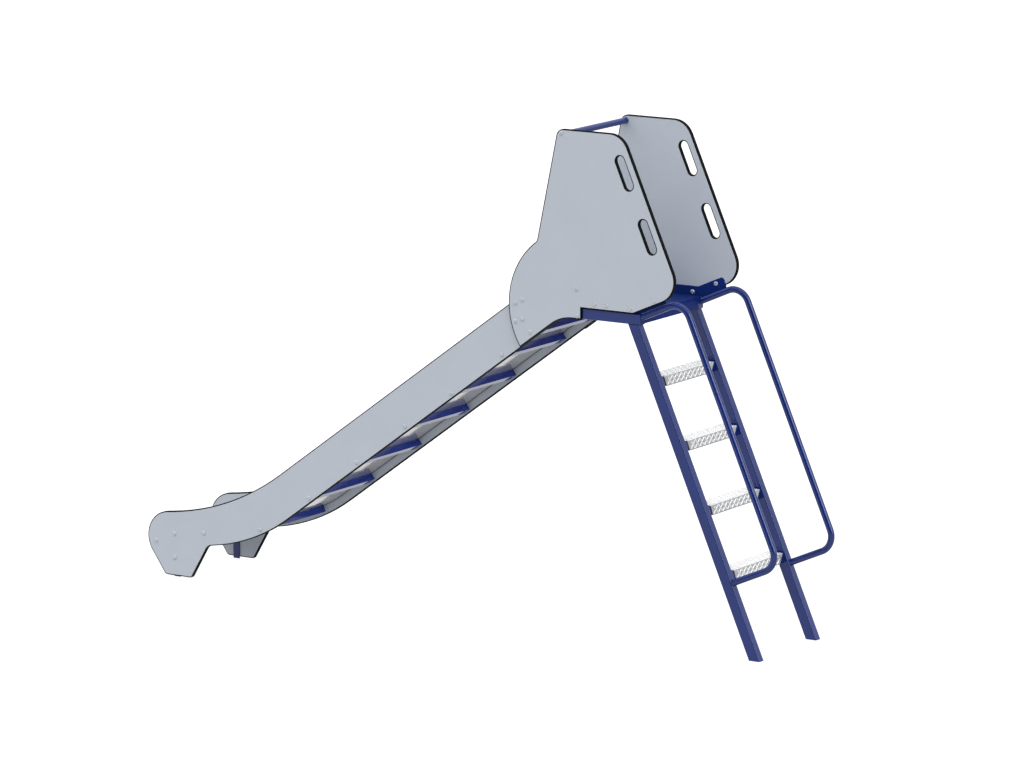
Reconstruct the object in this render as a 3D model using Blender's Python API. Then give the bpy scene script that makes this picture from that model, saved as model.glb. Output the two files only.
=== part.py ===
"""Playground slide with plastic side panels, a steel chute bed, a guarded platform and a step ladder.

The slide stands along X: the exit is at -X and the ladder at +X. It is symmetric about the XZ plane.
The floor is z = 0, and the origin lies on the floor in the middle of the slide's box.
Outlines are drawn as (x, z) corners with a rounding radius each, in metres.
"""
import math

import bpy
import bmesh
from mathutils import Vector

# Overall sizes
LENGTH = 3.4034
WIDTH = 0.559
PANEL = 0.019
GAP = 0.0003
SHEET = 0.003

# Arcs are drawn with straight pieces that stay this close to the circle and turn no more than this.
ARC_TOLERANCE = 0.0003
ARC_TURN = math.radians(15)

# Layers across the width, as distances from the middle plane
GUARD_OUT = WIDTH / 2
GUARD_IN = GUARD_OUT - PANEL
SIDE_OUT = GUARD_IN - GAP
SIDE_IN = SIDE_OUT - PANEL
CHUTE_HALF = SIDE_IN - GAP
FRAME_OUT = GUARD_OUT - 0.0099
FRAME_IN = FRAME_OUT - 0.040

# Chute panels: their slope, and their lower edge as its height above the floor at x = 0
SLOPE = math.radians(36.1)
LOWER_EDGE = 1.0072
PANEL_DEPTH = 0.1925
PANEL_FLAT = 1.442
PANEL_CREST = 0.180
SIDE_TOP = 1.620
LOW_RUN_SLOPE = math.radians(8.0)
TOP_RUN_SLOPE = math.radians(7.0)
LOW_RUN_POINT = (-1.3308, 0.1752)
LOW_KNEE = 0.944
TOP_KNEE = 1.303
HEAD_RADIUS = 0.1231
HEAD_HEIGHT = 0.1876
FOOT_HEIGHT = 0.008
FOOT_REAR_SLOPE = math.radians(-54.87)
FOOT_FRONT_SLOPE = math.radians(59.6)
FOOT_FRONT_X = -1.4529
HEEL = 0.040

# Chute bed: a bent sheet whose underside lies above the panels' lower edge
BED_RISE = 0.042
RUN_OUT_SLOPE = math.radians(6.5)
RUN_OUT_POINT = (-1.3798, 0.246)
BED_KNEE = 0.600
BED_CREST = 0.220
NOSE_X = -1.6763
NOSE_LOW = 0.135
NOSE_BEND = 0.055

# Platform frame
BEAM_TOP = 1.4927
BEAM_DEPTH = 0.050
BEAM_BACK = 0.7048
BEAM_FRONT = 1.0048
CROSS_BEAM = 0.040
CROSS_BEAM_DEPTH = 0.045
FLANGE_TOP = 1.540
FLANGE_TIP = 1.1338
FLANGE_DEPTH = 0.050
LIP_DEPTH = 0.047
LIP_BEND = 0.012
FOLD_STEP = 0.0005

# Ladder: stringers and rails lean at one angle, and steps keep one rise
LEAN = math.radians(66.4)
STRINGER_DEPTH = 0.052
RAIL_RADIUS = 0.0154
RAIL_BEND = 0.077
RAIL_STAND_OFF = 0.2512
RAIL_LOW = 0.3669
RAIL_HIGH = 1.6023
RAIL_Y = GUARD_OUT - 0.0275
FIRST_STEP = 0.383
STEP_RISE = 0.2773
STEP_COUNT = 4
STEP_DEPTH = 0.085
STEP_HEIGHT = 0.047
STEP_HALF = 0.212
STEP_TAPER = 0.022
STEP_WALL = 0.003
BRACKET_DROP = 0.002
BRACKET_INSET = 0.004

# Under the chute
BAR_WIDTH = 0.040
BAR_HEIGHT = 0.030
SLOPE_BARS_X = (-0.7818, -0.5168, -0.2518, 0.0032, 0.2732, 0.4362)
CURVE_BAR_X = -1.0608
RUN_BAR_X = -1.3798
NOSE_BAR = (-1.6548, 0.165)
NOSE_BAR_SIZE = 0.030
POST_X = -1.5488
POST_WIDTH = 0.035
POST_THICKNESS = 0.006

# Guard panels
GUARD_TOP = 2.286
GUARD_TOP_X = (0.5785, 0.9147)
GUARD_LOW_CORNER = (1.218, 1.5983)
GUARD_NOTCH_X = 0.9738
GUARD_ROUNDING = 0.100
GUARD_REAR_ROUNDING = 0.036
WAIST = (0.471, 1.7745)
WAIST_HOLLOW = 0.025
BULGE_CENTRE = (0.6768, 1.485)
BULGE_RADIUS = 0.355
BULGE_START = math.radians(129.5)
SLOT_LENGTH = 0.160
SLOT_WIDTH = 0.045
SLOT_CENTRES = ((0.9262, 2.1145), (1.0467, 1.841))
TOP_RAIL = (0.5992, 2.2595)
TOP_RAIL_RADIUS = 0.015

NAVY = (0.035, 0.055, 0.24)
PANEL_GREY = (0.43, 0.47, 0.53)
STEEL = (0.62, 0.63, 0.64)
ZINC = (0.58, 0.59, 0.60)

SIDES = (("left", -1), ("right", 1))


def clear_scene():
    for item in list(bpy.data.objects):
        bpy.data.objects.remove(item, do_unlink=True)


def new_collection(name):
    collection = bpy.data.collections.new(name)
    bpy.context.scene.collection.children.link(collection)
    return collection


def paint(item, colour, roughness, metallic):
    """Give one object its own plain material."""
    material = bpy.data.materials.new(item.name)
    material.use_nodes = True
    shader = material.node_tree.nodes["Principled BSDF"]
    shader.inputs["Base Color"].default_value = (*colour, 1.0)
    shader.inputs["Roughness"].default_value = roughness
    shader.inputs["Metallic"].default_value = metallic
    item.data.materials.clear()
    item.data.materials.append(material)


def painted_steel(item):
    paint(item, NAVY, 0.35, 0.0)


def arc(centre, radius, start, end):
    """Points on a circle from one angle to another, both ends included."""
    piece = min(2 * math.acos(1 - ARC_TOLERANCE / radius), ARC_TURN)
    steps = max(3, math.ceil(abs(end - start) / piece))
    turn = (end - start) / steps
    angles = [start + turn * i for i in range(steps + 1)]
    return [(centre[0] + radius * math.cos(a), centre[1] + radius * math.sin(a)) for a in angles]


def round_corner(before, corner, after, radius):
    """Points of the arc that rounds one corner of an outline."""
    here = Vector(corner)
    to_before = (Vector(before) - here).normalized()
    to_after = (Vector(after) - here).normalized()
    half = to_before.angle(to_after) / 2
    reach = radius / math.tan(half)
    centre = here + (to_before + to_after).normalized() * (radius / math.sin(half))
    first = here + to_before * reach - centre
    last = here + to_after * reach - centre
    start = math.atan2(first.y, first.x)
    turn = math.remainder(math.atan2(last.y, last.x) - start, math.tau)
    return arc(centre, radius, start, start + turn)


def rounded(corners, closed=True):
    """Turn (x, z, radius) corners into outline points."""
    points = []
    count = len(corners)
    for i, (x, z, radius) in enumerate(corners):
        inner = closed or 0 < i < count - 1
        if radius and inner:
            before = corners[i - 1][:2]
            after = corners[(i + 1) % count][:2]
            points += round_corner(before, (x, z), after, radius)
        else:
            points.append((x, z))
    return points


def crossing(point_a, angle_a, point_b, angle_b):
    """Where two lines cross, each given by a point and its angle."""
    da = Vector((math.cos(angle_a), math.sin(angle_a)))
    db = Vector((math.cos(angle_b), math.sin(angle_b)))
    offset = Vector(point_b) - Vector(point_a)
    along = (offset.x * db.y - offset.y * db.x) / (da.x * db.y - da.y * db.x)
    return (point_a[0] + da.x * along, point_a[1] + da.y * along)


def plate(name, outlines, middle, thickness, collection, across=False):
    """A flat piece; further outlines are holes in the first.

    It stands in the XZ plane with its middle at one y, or across the slide, in the YZ plane, with its
    middle at one x.
    """
    curve = bpy.data.curves.new(name, "CURVE")
    curve.dimensions = "2D"
    curve.fill_mode = "BOTH"
    curve.extrude = thickness / 2
    for outline in outlines:
        spline = curve.splines.new("POLY")
        spline.points.add(len(outline) - 1)
        for place, (x, z) in zip(spline.points, outline):
            place.co = (x, z, 0.0, 1.0)
        spline.use_cyclic_u = True
    item = bpy.data.objects.new(name, curve)
    item.location = (middle, 0.0, 0.0) if across else (0.0, middle, 0.0)
    item.rotation_euler = (math.pi / 2, 0.0, math.pi / 2 if across else 0.0)
    collection.objects.link(item)
    return item


def tube(name, path, radius, collection):
    """A round tube along a list of points."""
    curve = bpy.data.curves.new(name, "CURVE")
    curve.dimensions = "3D"
    curve.bevel_depth = radius
    curve.bevel_resolution = 4
    curve.use_fill_caps = True
    spline = curve.splines.new("POLY")
    spline.points.add(len(path) - 1)
    for place, point in zip(spline.points, path):
        place.co = (*point, 1.0)
    item = bpy.data.objects.new(name, curve)
    collection.objects.link(item)
    return item


def box(name, centre, size, collection, tilt=0.0):
    """A block, turned about Y by the tilt so that its local X climbs towards +X."""
    mesh = bpy.data.meshes.new(name)
    shape = bmesh.new()
    bmesh.ops.create_cube(shape, size=1.0)
    bmesh.ops.scale(shape, vec=size, verts=shape.verts)
    shape.to_mesh(mesh)
    shape.free()
    item = bpy.data.objects.new(name, mesh)
    item.location = centre
    item.rotation_euler = (0.0, -tilt, 0.0)
    collection.objects.link(item)
    return item


def as_mesh(item):
    """Replace a curve object by the same shape as a welded mesh."""
    name = item.name
    collection = item.users_collection[0]
    bpy.context.view_layer.update()
    evaluated = item.evaluated_get(bpy.context.evaluated_depsgraph_get())
    mesh = bpy.data.meshes.new_from_object(evaluated)
    shape = bmesh.new()
    shape.from_mesh(mesh)
    bmesh.ops.remove_doubles(shape, verts=shape.verts, dist=0.00001)
    shape.to_mesh(mesh)
    shape.free()
    matrix = item.matrix_world.copy()
    bpy.data.objects.remove(item, do_unlink=True)
    mesh.name = name
    solid = bpy.data.objects.new(name, mesh)
    solid.matrix_world = matrix
    collection.objects.link(solid)
    return solid


def boolean(item, tool, operation):
    modifier = item.modifiers.new(operation.lower(), "BOOLEAN")
    modifier.operation = operation
    modifier.object = tool
    tool.hide_render = True
    tool.display_type = "WIRE"


def edge_x(height):
    """Where the chute panels' straight lower edge reaches one height."""
    return (height - LOWER_EDGE) / math.tan(SLOPE)


def ladder_point(along, out):
    """A point by its distance up the stringers' front face and out from it."""
    x = STRINGER_FOOT - math.cos(LEAN) * along + math.sin(LEAN) * out
    z = math.sin(LEAN) * along + math.cos(LEAN) * out
    return (x, z)


# The rails' lower bends reach the end of the slide's box, which places the stringers' feet.
STRINGER_FOOT = (
    LENGTH / 2
    - RAIL_BEND
    - RAIL_RADIUS
    + math.cos(LEAN) * (RAIL_LOW + RAIL_BEND)
    - math.sin(LEAN) * (RAIL_STAND_OFF - RAIL_BEND)
)


def guard_outline():
    """The big panel beside the platform."""
    x, z = BULGE_CENTRE
    # The bulge is a circle that ends where it crosses the panels' lower edge.
    rise = (z - LOWER_EDGE - math.tan(SLOPE) * x) * math.cos(SLOPE)
    bulge_end = SLOPE + math.pi + math.asin(rise / BULGE_RADIUS)
    bulge = arc(BULGE_CENTRE, BULGE_RADIUS, BULGE_START, bulge_end)
    notch = BEAM_TOP + GAP
    notch_back = BEAM_BACK - 0.001
    return rounded(
        [
            (GUARD_TOP_X[0], GUARD_TOP, GUARD_REAR_ROUNDING),
            (*WAIST, WAIST_HOLLOW),
            *[(*point, 0) for point in bulge],
            (edge_x(PANEL_FLAT), PANEL_FLAT, PANEL_CREST),
            (notch_back, PANEL_FLAT, 0),
            (notch_back, notch, 0),
            (GUARD_NOTCH_X, notch, 0.020),
            (*GUARD_LOW_CORNER, GUARD_ROUNDING),
            (GUARD_TOP_X[1], GUARD_TOP, GUARD_ROUNDING),
        ]
    )


def slot_outline(centre):
    """A hand slot that lies along the guard's leaning edge."""
    reach = (SLOT_LENGTH - SLOT_WIDTH) / 2
    dx = -math.cos(LEAN) * reach
    dz = math.sin(LEAN) * reach
    up = (centre[0] + dx, centre[1] + dz)
    down = (centre[0] - dx, centre[1] - dz)
    side = math.pi / 2 - LEAN
    top = arc(up, SLOT_WIDTH / 2, side, side + math.pi)
    bottom = arc(down, SLOT_WIDTH / 2, side + math.pi, side + math.tau)
    return top + bottom


def side_outline():
    """The long panel beside the chute, with its foot at the exit."""
    rise = PANEL_DEPTH / math.cos(SLOPE)
    head = (HEAD_RADIUS - LENGTH / 2, HEAD_HEIGHT)
    # The head's circle touches the foot's rear edge and the run-out's top edge.
    rear_touch = (
        head[0] + HEAD_RADIUS * math.sin(FOOT_REAR_SLOPE),
        head[1] - HEAD_RADIUS * math.cos(FOOT_REAR_SLOPE),
    )
    top_touch = (
        head[0] - HEAD_RADIUS * math.sin(TOP_RUN_SLOPE),
        head[1] + HEAD_RADIUS * math.cos(TOP_RUN_SLOPE),
    )
    foot_rear = crossing(rear_touch, FOOT_REAR_SLOPE, (0, FOOT_HEIGHT), 0)
    foot_front = (FOOT_FRONT_X, FOOT_HEIGHT)
    heel = crossing(foot_front, FOOT_FRONT_SLOPE, LOW_RUN_POINT, LOW_RUN_SLOPE)
    low_knee = crossing(LOW_RUN_POINT, LOW_RUN_SLOPE, (0, LOWER_EDGE), SLOPE)
    top_knee = crossing(top_touch, TOP_RUN_SLOPE, (0, LOWER_EDGE + rise), SLOPE)
    nose = crossing(top_touch, TOP_RUN_SLOPE, rear_touch, FOOT_REAR_SLOPE)
    end_x = BEAM_BACK - 0.002
    return rounded(
        [
            (*foot_rear, 0.020),
            (*foot_front, 0.015),
            (*heel, HEEL),
            (*low_knee, LOW_KNEE),
            (edge_x(PANEL_FLAT), PANEL_FLAT, PANEL_CREST),
            (end_x, PANEL_FLAT, 0),
            (end_x, SIDE_TOP, 0.020),
            (edge_x(SIDE_TOP - rise), SIDE_TOP, 0.100),
            (*top_knee, TOP_KNEE),
            (*nose, HEAD_RADIUS),
        ]
    )


def bed_line():
    """Corners of the chute bed's underside, from its nose to the platform."""
    nose_z = crossing(RUN_OUT_POINT, RUN_OUT_SLOPE, (NOSE_X, 0), math.pi / 2)[1]
    line = (0, LOWER_EDGE + BED_RISE / math.cos(SLOPE))
    knee = crossing(RUN_OUT_POINT, RUN_OUT_SLOPE, line, SLOPE)
    deck_z = BEAM_TOP + GAP
    crest = crossing((0, deck_z), 0, line, SLOPE)
    return [
        (NOSE_X, NOSE_LOW, 0),
        (NOSE_X, nose_z, NOSE_BEND),
        (*knee, BED_KNEE),
        (*crest, BED_CREST),
        (BEAM_BACK - 0.002, deck_z, 0),
    ]


def bed_outline():
    """The bed's underside and, one sheet thickness above it, its top."""
    under = rounded(bed_line(), closed=False)
    upper = []
    for i, (x, z) in enumerate(under):
        x0, z0 = under[max(i - 1, 0)]
        x1, z1 = under[min(i + 1, len(under) - 1)]
        length = math.hypot(x1 - x0, z1 - z0)
        upper.append((x - (z1 - z0) / length * SHEET, z + (x1 - x0) / length * SHEET))
    return under + upper[::-1]


def under_bed(x):
    """The bed's underside above one x, as its height and slope."""
    points = rounded(bed_line(), closed=False)[2:]
    for (x0, z0), (x1, z1) in zip(points, points[1:]):
        if x0 <= x <= x1:
            share = (x - x0) / (x1 - x0)
            return z0 + (z1 - z0) * share, math.atan2(z1 - z0, x1 - x0)
    raise ValueError("no bed above this x")


def make_panels(parts):
    guard = [guard_outline()] + [slot_outline(c) for c in SLOT_CENTRES]
    for side, sign in SIDES:
        y = sign * (GUARD_OUT + GUARD_IN) / 2
        item = plate(f"guard_panel_{side}", guard, y, PANEL, parts)
        paint(item, PANEL_GREY, 0.5, 0.0)
        y = sign * (SIDE_OUT + SIDE_IN) / 2
        item = plate(f"chute_side_{side}", [side_outline()], y, PANEL, parts)
        paint(item, PANEL_GREY, 0.5, 0.0)


def make_chute(parts):
    bed = plate("chute_bed", [bed_outline()], 0, 2 * CHUTE_HALF, parts)
    paint(bed, STEEL, 0.2, 1.0)
    places = [RUN_BAR_X, CURVE_BAR_X, *SLOPE_BARS_X]
    for number, x in enumerate(places, start=2):
        # The bar hangs square to the bed, so its top's middle touches the underside.
        z, slope = under_bed(x - BAR_HEIGHT / 2 * math.sin(under_bed(x)[1]))
        top_x = x - BAR_HEIGHT / 2 * math.sin(slope)
        drop = BAR_HEIGHT / 2 + 2 * GAP
        centre = (top_x + drop * math.sin(slope), 0, z - drop * math.cos(slope))
        size = (BAR_WIDTH, 2 * CHUTE_HALF, BAR_HEIGHT)
        item = box(f"chute_bar_{number}", centre, size, parts, slope)
        painted_steel(item)
    centre = (NOSE_BAR[0], 0, NOSE_BAR[1])
    item = box("chute_bar_1", centre, (NOSE_BAR_SIZE, 2 * CHUTE_HALF, NOSE_BAR_SIZE), parts)
    painted_steel(item)
    post_top = under_bed(POST_X - POST_WIDTH / 2)[0] - GAP
    for side, sign in SIDES:
        centre = (POST_X, sign * (CHUTE_HALF - POST_THICKNESS / 2), post_top / 2)
        size = (POST_WIDTH, POST_THICKNESS, post_top)
        item = box(f"exit_post_{side}", centre, size, parts)
        painted_steel(item)


def make_frame(parts):
    beam_low = BEAM_TOP - BEAM_DEPTH
    beam_mid = BEAM_TOP - BEAM_DEPTH / 2
    beam_y = (FRAME_OUT + FRAME_IN) / 2
    beam_width = FRAME_OUT - FRAME_IN
    stringer_top = (beam_low - GAP) / math.sin(LEAN)
    level_depth = STRINGER_DEPTH / math.sin(LEAN)
    top_x = STRINGER_FOOT - math.cos(LEAN) * stringer_top
    stringer = [
        (STRINGER_FOOT - level_depth, 0),
        (STRINGER_FOOT, 0),
        (top_x, beam_low - GAP),
        (top_x - level_depth, beam_low - GAP),
    ]
    for side, sign in SIDES:
        length = BEAM_FRONT - BEAM_BACK
        centre = ((BEAM_BACK + BEAM_FRONT) / 2, sign * beam_y, beam_mid)
        item = box(f"platform_beam_{side}", centre, (length, beam_width, BEAM_DEPTH), parts)
        painted_steel(item)
        item = plate(f"stringer_{side}", [stringer], sign * beam_y, beam_width, parts)
        painted_steel(item)
    size = (CROSS_BEAM, 2 * (FRAME_IN - GAP), BEAM_DEPTH)
    item = box("platform_cross_beam_rear", (BEAM_BACK + CROSS_BEAM / 2, 0, beam_mid), size, parts)
    painted_steel(item)
    # The front beam lies inside the deck's turned-down lip and follows its bend.
    front = BEAM_FRONT - SHEET - GAP
    beam = rounded(
        [
            (front - CROSS_BEAM, BEAM_TOP - CROSS_BEAM_DEPTH, 0),
            (front, BEAM_TOP - CROSS_BEAM_DEPTH, 0),
            (front, BEAM_TOP, LIP_BEND - SHEET - GAP),
            (front - CROSS_BEAM, BEAM_TOP, 0),
        ]
    )
    item = plate("platform_cross_beam_front", [beam], 0, 2 * (FRAME_IN - GAP), parts)
    painted_steel(item)


def make_deck(parts, cutters):
    """The deck tray: a floor sheet with a flange up along each guard and a lip down in front."""
    low = BEAM_TOP + GAP
    tray_half = GUARD_IN - GAP
    # The floor stops short of the flanges' outer faces, as on a bent sheet.
    back = BEAM_BACK + FOLD_STEP
    tray = rounded(
        [
            (back, low, 0),
            (BEAM_FRONT - SHEET, low, LIP_BEND - SHEET),
            (BEAM_FRONT - SHEET, BEAM_TOP - LIP_DEPTH, 0),
            (BEAM_FRONT, BEAM_TOP - LIP_DEPTH, 0),
            (BEAM_FRONT, low + SHEET, LIP_BEND),
            (back, low + SHEET, 0),
        ]
    )
    deck = as_mesh(plate("platform_deck", [tray], 0, 2 * tray_half - SHEET, parts))
    fold = low + FOLD_STEP
    lean = math.pi / 2 - LEAN
    tip_low = (FLANGE_TIP, fold + (FLANGE_TIP - BEAM_FRONT) * math.tan(lean))
    tip_top = (tip_low[0] - FLANGE_DEPTH * math.sin(lean), tip_low[1] + FLANGE_DEPTH * math.cos(lean))
    bend = crossing(tip_top, lean, (0, FLANGE_TOP), 0)
    flange = rounded(
        [
            (BEAM_BACK, fold, 0),
            (BEAM_FRONT, fold, 0),
            (*tip_low, 0.006),
            (*tip_top, 0.015),
            (*bend, 0.010),
            (BEAM_BACK, FLANGE_TOP, 0.015),
        ]
    )
    for side, sign in SIDES:
        # The lip lies between the side beams, so it is cut away where they are.
        size = (2 * LIP_BEND, FRAME_OUT - FRAME_IN, 2 * BEAM_DEPTH)
        centre = (BEAM_FRONT, sign * (FRAME_IN - GAP + size[1] / 2), low + GAP - BEAM_DEPTH)
        notch = box(f"lip_notch_{side}", centre, size, cutters)
        boolean(deck, notch, "DIFFERENCE")
        y = sign * (tray_half - SHEET / 2)
        wing = as_mesh(plate(f"deck_flange_{side}", [flange], y, SHEET, cutters))
        boolean(deck, wing, "UNION")
    painted_steel(deck)


def make_rails(parts, cutters):
    corners = [
        (*ladder_point(RAIL_LOW, 2 * GAP), 0),
        (*ladder_point(RAIL_LOW, RAIL_STAND_OFF), RAIL_BEND),
        (*ladder_point(RAIL_HIGH, RAIL_STAND_OFF), RAIL_BEND),
        (*ladder_point(RAIL_HIGH, 0), 0),
    ]
    path = rounded(corners, closed=False)
    for side, sign in SIDES:
        points = [(x, sign * RAIL_Y, z) for x, z in path]
        item = as_mesh(tube(f"hand_rail_{side}", points, RAIL_RADIUS, parts))
        # The upper leg is cut square against the beam's end.
        size = 2 * BEAM_DEPTH
        centre = (BEAM_FRONT + GAP - size / 2, sign * RAIL_Y, BEAM_TOP)
        cutter = box(f"rail_cutter_{side}", centre, (size, size, size), cutters)
        boolean(item, cutter, "DIFFERENCE")
        painted_steel(item)
    ends = [(TOP_RAIL[0], sign * (GUARD_IN - GAP), TOP_RAIL[1]) for sign in (-1, 1)]
    item = tube("top_rail", ends, TOP_RAIL_RADIUS, parts)
    painted_steel(item)


def make_steps(parts, cutters):
    for number in range(1, STEP_COUNT + 1):
        top = FIRST_STEP + STEP_RISE * (number - 1)
        low = top - STEP_HEIGHT
        front = ladder_point(top / math.sin(LEAN), 0)[0]
        middle = front - STEP_DEPTH / 2
        half_low = STEP_HALF - STEP_TAPER
        outline = [(-STEP_HALF, top), (-half_low, low), (half_low, low), (STEP_HALF, top)]
        step = as_mesh(plate(f"step_{number}", [outline], middle, STEP_DEPTH, parts, across=True))
        # Under the tread the step is hollow and open at both ends.
        roof = top - STEP_WALL
        floor = low - STEP_WALL
        hollow = [(-FRAME_IN, floor), (FRAME_IN, floor), (FRAME_IN, roof), (-FRAME_IN, roof)]
        depth = STEP_DEPTH - 2 * STEP_WALL
        inner = as_mesh(plate(f"hollow_{number}", [hollow], middle, depth, cutters, across=True))
        boolean(step, inner, "DIFFERENCE")
        paint(step, ZINC, 0.45, 0.8)
        bracket_front = front - BRACKET_INSET
        bracket_depth = STRINGER_DEPTH / math.sin(LEAN) - 2 * BRACKET_INSET
        for side, sign in SIDES:
            wall = sign * (FRAME_IN - GAP)
            seat_top = top - BRACKET_DROP
            seat_half = STEP_HALF - STEP_TAPER * BRACKET_DROP / STEP_HEIGHT + GAP
            seat = [
                (wall, seat_top),
                (sign * seat_half, seat_top),
                (sign * (half_low + GAP), low),
                (wall, low),
            ]
            name = f"step_bracket_{number}_{side}"
            middle_x = bracket_front - bracket_depth / 2
            painted_steel(plate(name, [seat], middle_x, bracket_depth, parts, across=True))


def main():
    clear_scene()
    parts = new_collection("playground_slide")
    cutters = new_collection("cutters")
    make_panels(parts)
    make_chute(parts)
    make_frame(parts)
    make_deck(parts, cutters)
    make_rails(parts, cutters)
    make_steps(parts, cutters)


main()
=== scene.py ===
"""Looks of the playground slide: finer pieces, finishes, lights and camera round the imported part."""

import logging
import math
from collections.abc import Callable, Iterator
from contextlib import contextmanager
from dataclasses import dataclass, field
from enum import Enum

import bmesh
import bpy
from mathutils import Euler, Matrix, Vector
from mathutils.bvhtree import BVHTree


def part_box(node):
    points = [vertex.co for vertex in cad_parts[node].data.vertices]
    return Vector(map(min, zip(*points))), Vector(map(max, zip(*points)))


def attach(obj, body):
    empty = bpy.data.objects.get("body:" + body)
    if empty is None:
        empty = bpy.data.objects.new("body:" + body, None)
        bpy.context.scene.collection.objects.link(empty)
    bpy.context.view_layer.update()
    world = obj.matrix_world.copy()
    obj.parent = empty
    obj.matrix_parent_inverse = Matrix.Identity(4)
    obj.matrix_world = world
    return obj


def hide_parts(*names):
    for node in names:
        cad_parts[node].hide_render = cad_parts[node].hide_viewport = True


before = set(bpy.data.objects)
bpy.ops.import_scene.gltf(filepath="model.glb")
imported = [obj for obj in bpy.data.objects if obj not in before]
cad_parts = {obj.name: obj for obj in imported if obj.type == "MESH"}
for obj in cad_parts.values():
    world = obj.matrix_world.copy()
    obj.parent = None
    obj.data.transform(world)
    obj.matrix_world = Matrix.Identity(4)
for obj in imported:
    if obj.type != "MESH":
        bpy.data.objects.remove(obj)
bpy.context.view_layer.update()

LOG = logging.getLogger("slide")
# Lengths in metres and angles in radians that several pieces share
MERGE = 0.00001
FLAT = math.radians(0.15)
SHARP = math.radians(30)
SMOOTH = math.radians(38)
LEAN = math.radians(66.4)
# The cosine above which a face looks sideways, the faces across a small edge and a noise's usual spread
FULLY_SIDEWAYS = 0.999
FINE_STEPS = 2
MOTTLE = (0.3, 0.7)

Piece = bpy.types.Object
Material = bpy.types.Material
Tree = bpy.types.NodeTree
Node = bpy.types.Node
Socket = bpy.types.NodeSocket
Pair = tuple[float, float]
Pairs = tuple[Pair, ...]
Point = tuple[float, float, float]
Colour = tuple[float, float, float, float]
EdgeRule = Callable[[bmesh.types.BMEdge], bool]
FaceRule = Callable[[bmesh.types.BMFace], bool]


class Slot(Enum):
    """The record's material slots."""

    PANEL = "panel_plastic"
    SHEET = "stainless_sheet"
    COATING = "navy_coating"
    ZINC = "galvanised_sheet"


class Side(Enum):
    """The slide's two sides, by the sign of their y."""

    LEFT = -1
    RIGHT = 1

    @property
    def word(self) -> str:
        """The side's name as the nodes' names have it."""
        return self.name.lower()


# Bench work


def clear_selection() -> None:
    """Leaves edit mode and deselects every object."""
    if bpy.context.object and bpy.context.object.mode != "OBJECT":
        bpy.ops.object.mode_set(mode="OBJECT")
    bpy.ops.object.select_all(action="DESELECT")


def take(piece: Piece) -> None:
    """Makes a piece the only selected one, and the active one.

    Args:
        piece: the object to take.
    """
    clear_selection()
    piece.select_set(True)
    bpy.context.view_layer.objects.active = piece


@contextmanager
def editing(piece: Piece) -> Iterator[Piece]:
    """Opens a piece in edit mode, and closes it afterwards.

    Args:
        piece: the mesh object to work on.
    """
    take(piece)
    bpy.ops.object.mode_set(mode="EDIT")
    try:
        yield piece
    finally:
        bpy.ops.object.mode_set(mode="OBJECT")


def pick_edges(piece: Piece, rule: EdgeRule) -> int:
    """Selects the edges that a rule keeps.

    Args:
        piece: a mesh object in edit mode.
        rule: says of an edge whether it is wanted.

    Returns:
        The number of edges selected.
    """
    bpy.ops.mesh.select_mode(type="EDGE")
    bpy.ops.mesh.select_all(action="DESELECT")
    mesh = bmesh.from_edit_mesh(piece.data)
    wanted = [edge for edge in mesh.edges if rule(edge)]
    for edge in wanted:
        edge.select_set(True)
    bmesh.update_edit_mesh(piece.data)
    return len(wanted)


def pick_faces(piece: Piece, rule: FaceRule) -> int:
    """Selects the faces that a rule keeps.

    Args:
        piece: a mesh object in edit mode.
        rule: says of a face whether it is wanted.

    Returns:
        The number of faces selected.
    """
    bpy.ops.mesh.select_mode(type="FACE")
    bpy.ops.mesh.select_all(action="DESELECT")
    mesh = bmesh.from_edit_mesh(piece.data)
    wanted = [face for face in mesh.faces if rule(face)]
    for face in wanted:
        face.select_set(True)
    bmesh.update_edit_mesh(piece.data)
    return len(wanted)


def is_sharp(edge: bmesh.types.BMEdge) -> bool:
    """Says whether an edge is a corner and not a facet of a curve."""
    return len(edge.link_faces) == 2 and edge.calc_face_angle(0.0) > SHARP


def copy_node(node: str, name: str) -> Piece:
    """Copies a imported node's shape as a new piece, merged and with its flat faces joined.

    Args:
        node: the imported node's name.
        name: the new piece's name.

    Returns:
        The new piece.
    """
    piece = bpy.data.objects.new(name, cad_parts[node].data.copy())
    bpy.context.scene.collection.objects.link(piece)
    piece.data.name = name
    piece.data.materials.clear()
    with editing(piece):
        bpy.ops.mesh.select_all(action="SELECT")
        bpy.ops.mesh.customdata_custom_splitnormals_clear()
        bpy.ops.mesh.remove_doubles(threshold=MERGE)
        bpy.ops.mesh.dissolve_limited(angle_limit=FLAT)
    return piece


def round_edges(piece: Piece, radius: float, steps: int, rule: EdgeRule = is_sharp) -> None:
    """Rounds the edges that a rule keeps.

    Args:
        piece: the piece to round.
        radius: how far back from the corner the rounding starts.
        steps: faces across the rounding.
        rule: says of an edge whether it is rounded.
    """
    with editing(piece):
        if pick_edges(piece, rule):
            bpy.ops.mesh.bevel(offset=radius, segments=steps, affect="EDGES", clamp_overlap=False)


def along(direction: Point, share: float = 0.98) -> EdgeRule:
    """Makes a rule that keeps sharp edges running along a direction.

    Args:
        direction: the direction, of any length.
        share: the least cosine between edge and direction.

    Returns:
        The rule.
    """
    way = Vector(direction).normalized()

    def rule(edge: bmesh.types.BMEdge) -> bool:
        """Says whether this edge runs along the direction."""
        line = (edge.verts[1].co - edge.verts[0].co).normalized()
        return is_sharp(edge) and abs(line.dot(way)) > share

    return rule


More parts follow.
